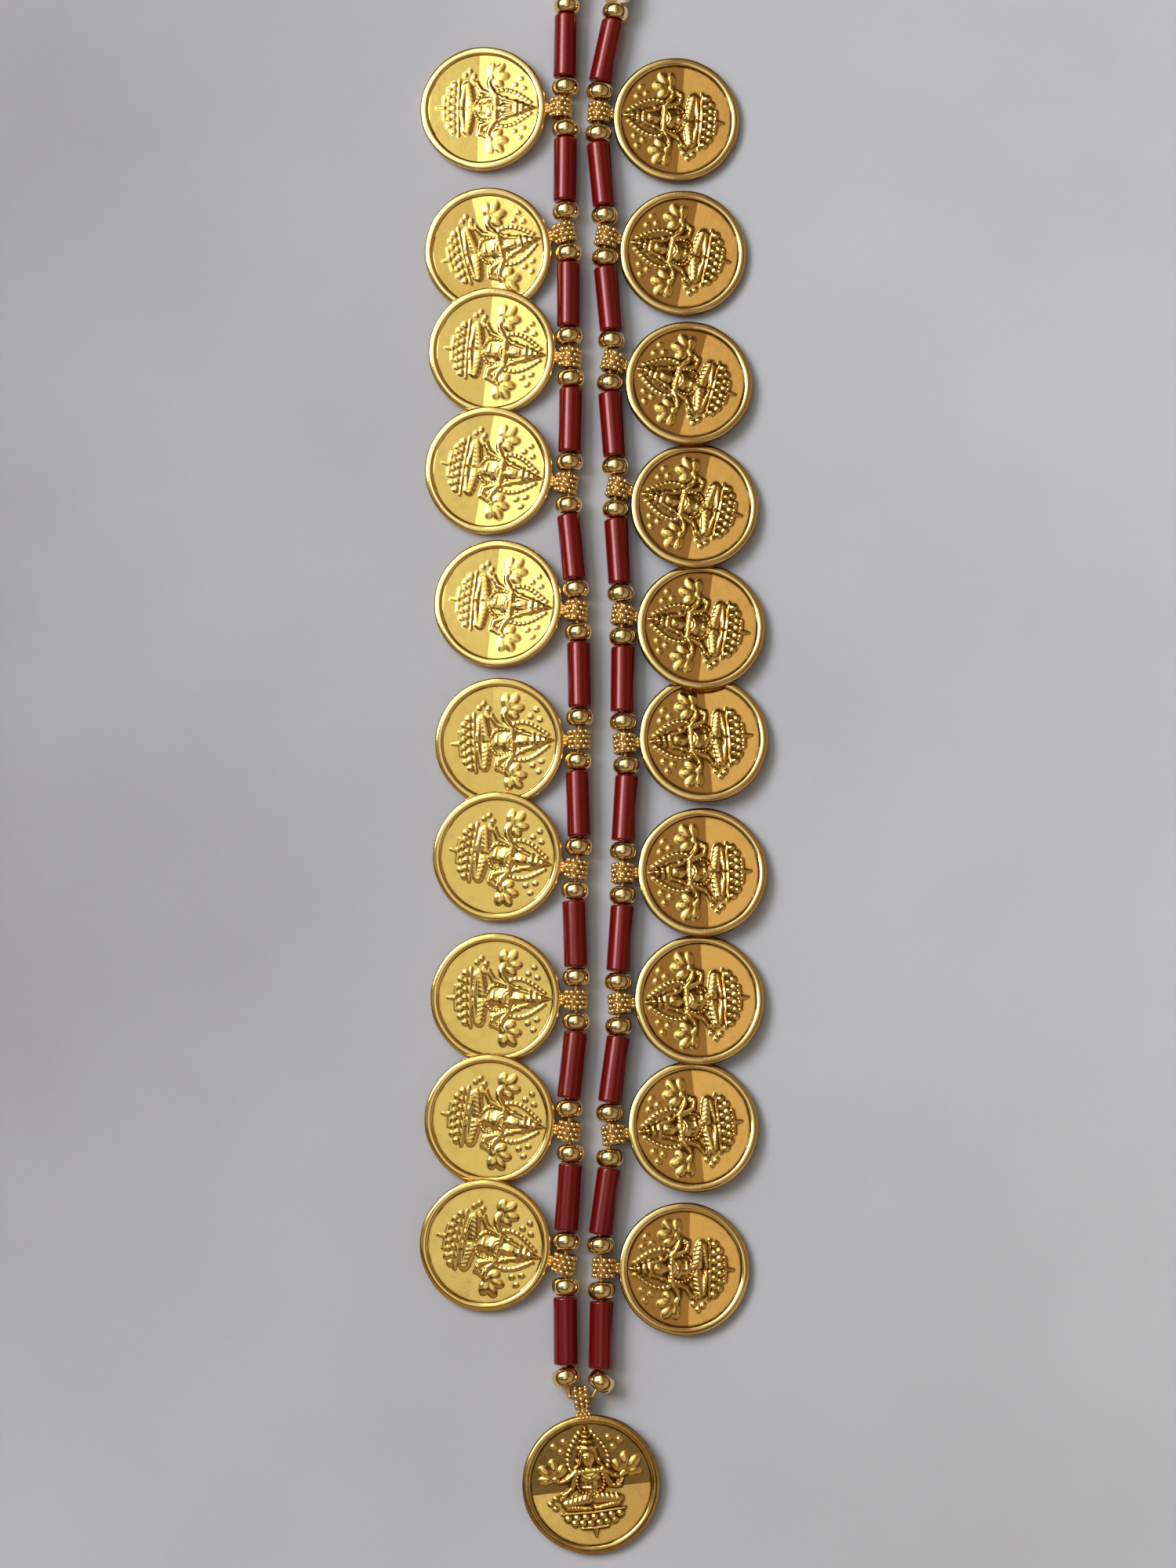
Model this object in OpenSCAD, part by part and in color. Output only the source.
// Coin necklace, lying flat with its coins spread to both sides, in millimetres.
// Z is up and Y runs from the pendant to the neck. The origin is on the floor,
// under the middle of the coins and beads.

/* [Beads] */
// Outer diameter of a red tube bead
tube_d = 3.7; // [3.2:0.1:3.9]
// Length of a red tube bead
tube_l = 10.1; // [9.5:0.1:10.5]
// Bore of a red tube bead
tube_bore_d = 1.2; // [1:0.1:1.6]
// Rounding of the ends of a tube bead
tube_edge_r = 0.35; // [0.1:0.05:0.6]
// Outer diameter of a gold bead
bead_d = 4.2; // [4:0.1:4.4]
// Length of a gold bead along the thread
bead_l = 2.8; // [2.4:0.1:3]
// Diameter of the thread
thread_d = 0.7; // [0.5:0.05:0.8]
// Gap between two beads on the thread
bead_gap = 0.15; // [0.15:0.01:0.25]

/* [Coins] */
// Diameter of a side coin
coin_d = 20; // [19.6:0.1:20.2]
// Diameter of the pendant coin
pendant_d = 20.8; // [20:0.1:21.2]
// Thickness of a coin over its rim
coin_t = 1.3; // [1.1:0.05:1.4]
// Width of the raised rim
rim_w = 1.15; // [0.8:0.05:1.5]
// Rounding of the rim's edges
rim_r = 0.4; // [0.2:0.05:0.5]
// Depth of the front field below the rim, where it meets the rim
field_edge = 0.2; // [0.1:0.05:0.3]
// Depth of the front field below the rim, along its crease
field_crease = 0.55; // [0.4:0.05:0.6]
// How far the crease lies past the middle of the coin
crease_shift = 0.7; // [0:0.1:1.5]
// Depth of the back field below the rim
back_depth = 0.2; // [0.1:0.05:0.3]

/* [Bails] */
// Diameter of a bail's barrel
bail_d = 3.1; // [3:0.1:3.3]
// Bore of a bail's barrel
bail_bore_d = 2.4; // [2.2:0.1:2.5]
// Length of a side coin's barrel
bail_l = 3; // [2.6:0.1:3.2]
// Length of the pendant coin's barrel
pendant_bail_l = 2.2; // [2:0.1:2.4]
// Free thread between two gold beads, where a barrel sits
bail_room = 4; // [3.9:0.1:4.4]
// Distance from a barrel's axis to the edge of a side coin
coin_off = 2.2; // [2.1:0.05:2.4]
// Distance from the barrel's axis to the edge of the pendant coin
pendant_off = 2.6; // [2.4:0.05:2.8]
// Width of the solder neck between barrel and coin
neck_w = 1.8; // [1.2:0.1:2.2]
// Thickness of the solder neck
neck_t = 0.8; // [0.5:0.1:1]

/* [Neck cord] */
// Diameter of the twisted neck cord
cord_d = 4.5; // [4:0.1:4.5]

/* [Hidden] */
$fn = 48;
// Height of the thread's axis, with the gold beads on the floor
lie_z = bead_d / 2;
// Length of thread that a tube and half a gap at each end take
tube_step = tube_l + bead_gap;
// Length of thread that two gold beads with a bail between them take
group_step = 2 * bead_l + bail_room + bead_gap;
// How far the front field cuts into the rim's inner edge
field_bite = 0.1;
// Shift from the strands' own axes to the origin under the middle
to_middle = [-0.4, -4];
// How far a stretch of thread reaches into the bead at its end
thread_seat = 0.3;
// Bend of the thread beside the pendant's barrel, measured from the barrel's middle
tail_bend = [1.7, 0.15];
// Thickness of the thread at that bend, and how far the stretch above reaches past it
bend_d = 0.8;
bend_past = 0.05;
// Gap between the two threads' ends inside the pendant's barrel
thread_end_gap = 0.2;

// One row a tube, from the neck down: [x of its upper end, x of its lower end]
left_tubes = [[-3.4, -3.6], [-3.5, -3.6], [-3.0, -3.0], [-2.6, -2.8], [-3.0, -2.0], [-1.4, -1.2],
              [-1.6, -1.3], [-2.1, -1.8], [-1.8, -2.9], [-2.6, -3.3], [-3.4, -3.3]];
right_tubes = [[4.0, 1.9], [1.6, 2.6], [2.7, 3.7], [3.4, 4.2], [4.3, 5.0], [5.4, 5.3],
               [6.0, 5.4], [5.3, 4.6], [4.7, 3.3], [3.3, 1.9], [2.1, 1.9]];
// Height in Y at which each strand's first tube begins
left_top = 121.7;
right_top = 120.7;

// One row a coin, from the neck down:
// [heading, how far it has slid off the thread, dip of its outer edge, roll]
// Heading is up for a coin whose outer edge points towards the neck, and roll
// lifts the edge that is nearer to the neck.
left_coins = [[1, 0.75, 3.7, 0], [-13, 0.45, 2.4, 4.5], [5, 0, 2.0, 5.5], [10, 0.5, 2.1, 5],
              [6, 0.1, 3.7, 0], [-2, 0, 2.4, 4.5], [9, 0.1, 2.0, 5.5], [1, 0.1, 2.4, 4.5],
              [8, 0.1, 2.2, 5], [13, 0.3, 2.0, 5.5]];
right_coins = [[-4, 0, 3.7, 0], [-11, 0.3, 3.6, 0], [-15, 0.4, 2.0, -5.5], [-12.5, 0.4, 2.1, -5],
               [-8, 0.2, 2.2, -5], [4, 0, 2.4, -4.5], [1, 0, 2.2, -5], [3, 0.2, 2.4, -4.5],
               [6, 0.6, 2.6, -4], [-1, 0.4, 3.6, 0]];

// The gold bead below each strand's last tube: [x, y, lean of its axis]
left_end_bead = [-3.4, -90.0, 20];
right_end_bead = [2.0, -90.7, -35];
// The pendant's barrel: [x, y], its heading and the dip of the coin below it
pendant_at = [-1.0, -93.1];
pendant_heading = -83.5;
pendant_dip = 3.4;

// The neck cord's route on the floor, from the left strand to the right one: [x, y]
cord_route = [[-3.8, 120.7], [-3.8, 125], [-4.6, 132], [-7, 140], [-10.5, 148], [-14.5, 156],
              [-18.5, 164], [-22, 172.5], [-24.5, 181.5], [-25.3, 191], [-23.5, 200.5],
              [-19, 209], [-12, 216], [-3, 220.5], [6.5, 220], [15, 215.5], [21.5, 208.5],
              [25, 199.5], [26, 190], [24.8, 180.5], [21.8, 171.5], [18, 163], [14.2, 155],
              [10.8, 147], [8.2, 139], [6.5, 131.5], [5.3, 125], [4.3, 119.7]];
cord_sides = 10;

coins_a_side = len(left_coins);
left_names = [for (i = [1:coins_a_side]) str("left_coin_", i)];
right_names = [for (i = [1:coins_a_side]) str("right_coin_", i)];
left_tube_names = [for (i = [1:coins_a_side + 1]) str("left_tube_", i)];
right_tube_names = [for (i = [1:coins_a_side + 1]) str("right_tube_", i)];

// Points along a strand

// The x of every joint along a strand, two for each tube
function joint_x(tubes) = [for (row = tubes) each row];

// Thread length between joint k - 1 and joint k
function joint_step(k) = k % 2 == 1 ? tube_step : group_step;

function joint_y(xs, top, k) =
    k == 0 ? top : joint_y(xs, top, k - 1) - sqrt(pow(joint_step(k), 2) - pow(xs[k] - xs[k - 1], 2));

// Every joint along a strand, from the neck down
function joints(tubes, top) =
    let (xs = joint_x(tubes)) [for (k = [0:len(xs) - 1]) [xs[k], joint_y(xs, top, k)] + to_middle];

left_joints = joints(left_tubes, left_top);
right_joints = joints(right_tubes, right_top);

// Shapes

module bar_section(w, h, r) {
    for (x = [r, w - r], y = [r - h / 2, h / 2 - r]) translate([x, y]) circle(r);
    translate([r, -h / 2]) square([w - 2 * r, h]);
    translate([0, r - h / 2]) square([w, h - 2 * r]);
}

// A tube bead with its axis along Z
module tube_bead() {
    rotate_extrude()
        translate([tube_bore_d / 2, 0])
            bar_section((tube_d - tube_bore_d) / 2, tube_l, tube_edge_r);
}

// A gold bead with its axis along Z: a flat round core with a full round edge
module gold_bead() {
    edge_r = bead_l / 2;
    core_r = bead_d / 2 - edge_r;
    rotate_extrude() {
        translate([0, -edge_r]) square([core_r, bead_l]);
        intersection() {
            translate([core_r, 0]) circle(edge_r);
            translate([core_r / 2, -edge_r]) square([bead_d, bead_l]);
        }
    }
}

// A coin lying on its back round the origin. Its crease runs along Y.
module coin(r) {
    top = coin_t / 2;
    field_r = r - rim_w + field_bite;
    difference() {
        union() {
            translate([0, 0, back_depth - top])
                cylinder(r = r - rim_w / 2, h = coin_t - back_depth - field_edge);
            rotate_extrude() translate([r - rim_w, 0]) bar_section(rim_w, coin_t, rim_r);
        }
        intersection() {
            translate([0, 0, -top]) cylinder(r = field_r, h = coin_t * 2);
            rotate([90, 0, 0])
                linear_extrude(height = 2 * r, center = true)
                    polygon([[-field_r, top - field_edge], [crease_shift, top - field_crease],
                             [field_r, top - field_edge], [field_r, coin_t], [-field_r, coin_t]]);
        }
    }
}

// A coin with its barrel on the Y axis and the coin towards +X
module hung_coin(d, off, barrel_l) {
    difference() {
        union() {
            translate([off + d / 2, 0, 0]) coin(d / 2);
            rotate([90, 0, 0]) cylinder(d = bail_d, h = barrel_l, center = true);
            translate([bail_bore_d / 2, -neck_w / 2, -neck_t / 2])
                cube([off + rim_w / 2 - bail_bore_d / 2, neck_w, neck_t]);
        }
        rotate([90, 0, 0]) cylinder(d = bail_bore_d, h = 2 * barrel_l, center = true);
    }
}

// Lays a child that stands along Z down between two points of a strand
module lay_between(a, b) {
    mid = (a + b) / 2;
    run = b - a;
    translate([mid.x, mid.y, lie_z])
        rotate([0, 0, atan2(run.y, run.x)])
            rotate([0, 90, 0]) children();
}

// A stretch of thread that reaches a little past both of its points
module thread(a, b, past = thread_seat) {
    lay_between(a, b) cylinder(d = thread_d, h = norm(b - a) + 2 * past, center = true);
}

// Pieces

module side_coin(points, row, i, side) {
    at = (points[2 * i + 1] + points[2 * i + 2]) / 2;
    translate([at.x, at.y, lie_z])
        rotate([0, 0, side > 0 ? row[0] : 180 - row[0]])
            rotate([0, row[2], 0])
                rotate([side * row[3], 0, 0])
                    translate([row[1], 0, 0]) hung_coin(coin_d, coin_off, bail_l);
}

module left_coin(i) color("gold") side_coin(left_joints, left_coins[i], i, -1);

module right_coin(i) color("goldenrod") side_coin(right_joints, right_coins[i], i, 1);

module pendant_coin() {
    at = pendant_at + to_middle;
    color("goldenrod")
        translate([at.x, at.y, lie_z])
            rotate([0, 0, pendant_heading])
                rotate([0, pendant_dip, 0])
                    hung_coin(pendant_d, pendant_off, pendant_bail_l);
}

module tube(points, i) color("firebrick") lay_between(points[2 * i], points[2 * i + 1]) tube_bead();

// The gold bead above the first tube
module top_bead(points) {
    way = (points[0] - points[1]) / norm(points[0] - points[1]);
    lay_between(points[0] + way * bead_gap / 2, points[0] + way * (bead_gap / 2 + bead_l)) gold_bead();
}

// The two gold beads on either side of one bail, and the thread between them
module bead_pair(a, b) {
    way = (b - a) / norm(b - a);
    near = bead_gap / 2 + bead_l;
    far = group_step - near;
    lay_between(a + way * bead_gap / 2, a + way * near) gold_bead();
    lay_between(a + way * far, a + way * (far + bead_l)) gold_bead();
    thread(a + way * near, a + way * far);
}

// The bead below the last tube, and its thread to the middle of the pendant's barrel
module end_of_string(at, bend, end) {
    middle = [at[0], at[1]] + to_middle;
    way = [sin(at[2]), -cos(at[2])];
    translate([middle.x, middle.y, lie_z]) rotate([0, 0, at[2] - 90]) rotate([0, 90, 0]) gold_bead();
    thread(middle + way * bead_l / 2, bend, bend_past);
    translate([bend.x, bend.y, lie_z]) sphere(d = bend_d);
    thread(bend, end, 0);
}

// The thread through one strand, with all of its gold beads
module string_of(points, last, side) {
    at = pendant_at + to_middle;
    color("goldenrod") {
        top_bead(points);
        for (i = [0:coins_a_side - 1]) bead_pair(points[2 * i + 1], points[2 * i + 2]);
        for (i = [0:coins_a_side]) thread(points[2 * i], points[2 * i + 1]);
        end_of_string(last, at + [side * tail_bend.x, tail_bend.y], at + [side * thread_end_gap / 2, 0]);
    }
}

module left_string() string_of(left_joints, left_end_bead, -1);

module right_string() string_of(right_joints, right_end_bead, 1);

// The neck cord: a round tube swept along its route, flat on the floor
module neck_cord() {
    n = len(cord_route);
    r = cord_d / 2;
    rings = [for (k = [0:n - 1])
        let (ahead = cord_route[min(k + 1, n - 1)] - cord_route[max(k - 1, 0)],
             out = [ahead.y, -ahead.x] / norm(ahead))
        for (s = [0:cord_sides - 1])
            let (a = 360 * (s + 0.5) / cord_sides)
            [cord_route[k].x + out.x * r * cos(a), cord_route[k].y + out.y * r * cos(a), r + r * sin(a)]];
    walls = [for (k = [0:n - 2], s = [0:cord_sides - 1])
        let (t = (s + 1) % cord_sides)
        [k * cord_sides + s, k * cord_sides + t, (k + 1) * cord_sides + t, (k + 1) * cord_sides + s]];
    first = [for (s = [cord_sides - 1:-1:0]) s];
    last = [for (s = [0:cord_sides - 1]) (n - 1) * cord_sides + s];
    color("wheat") polyhedron(rings, concat(walls, [first, last]), convexity = 6);
}

for (i = [0:coins_a_side - 1]) left_coin(i);
for (i = [0:coins_a_side - 1]) right_coin(i);
pendant_coin();
for (i = [0:coins_a_side]) tube(left_joints, i);
for (i = [0:coins_a_side]) tube(right_joints, i);
left_string();
right_string();
neck_cord();
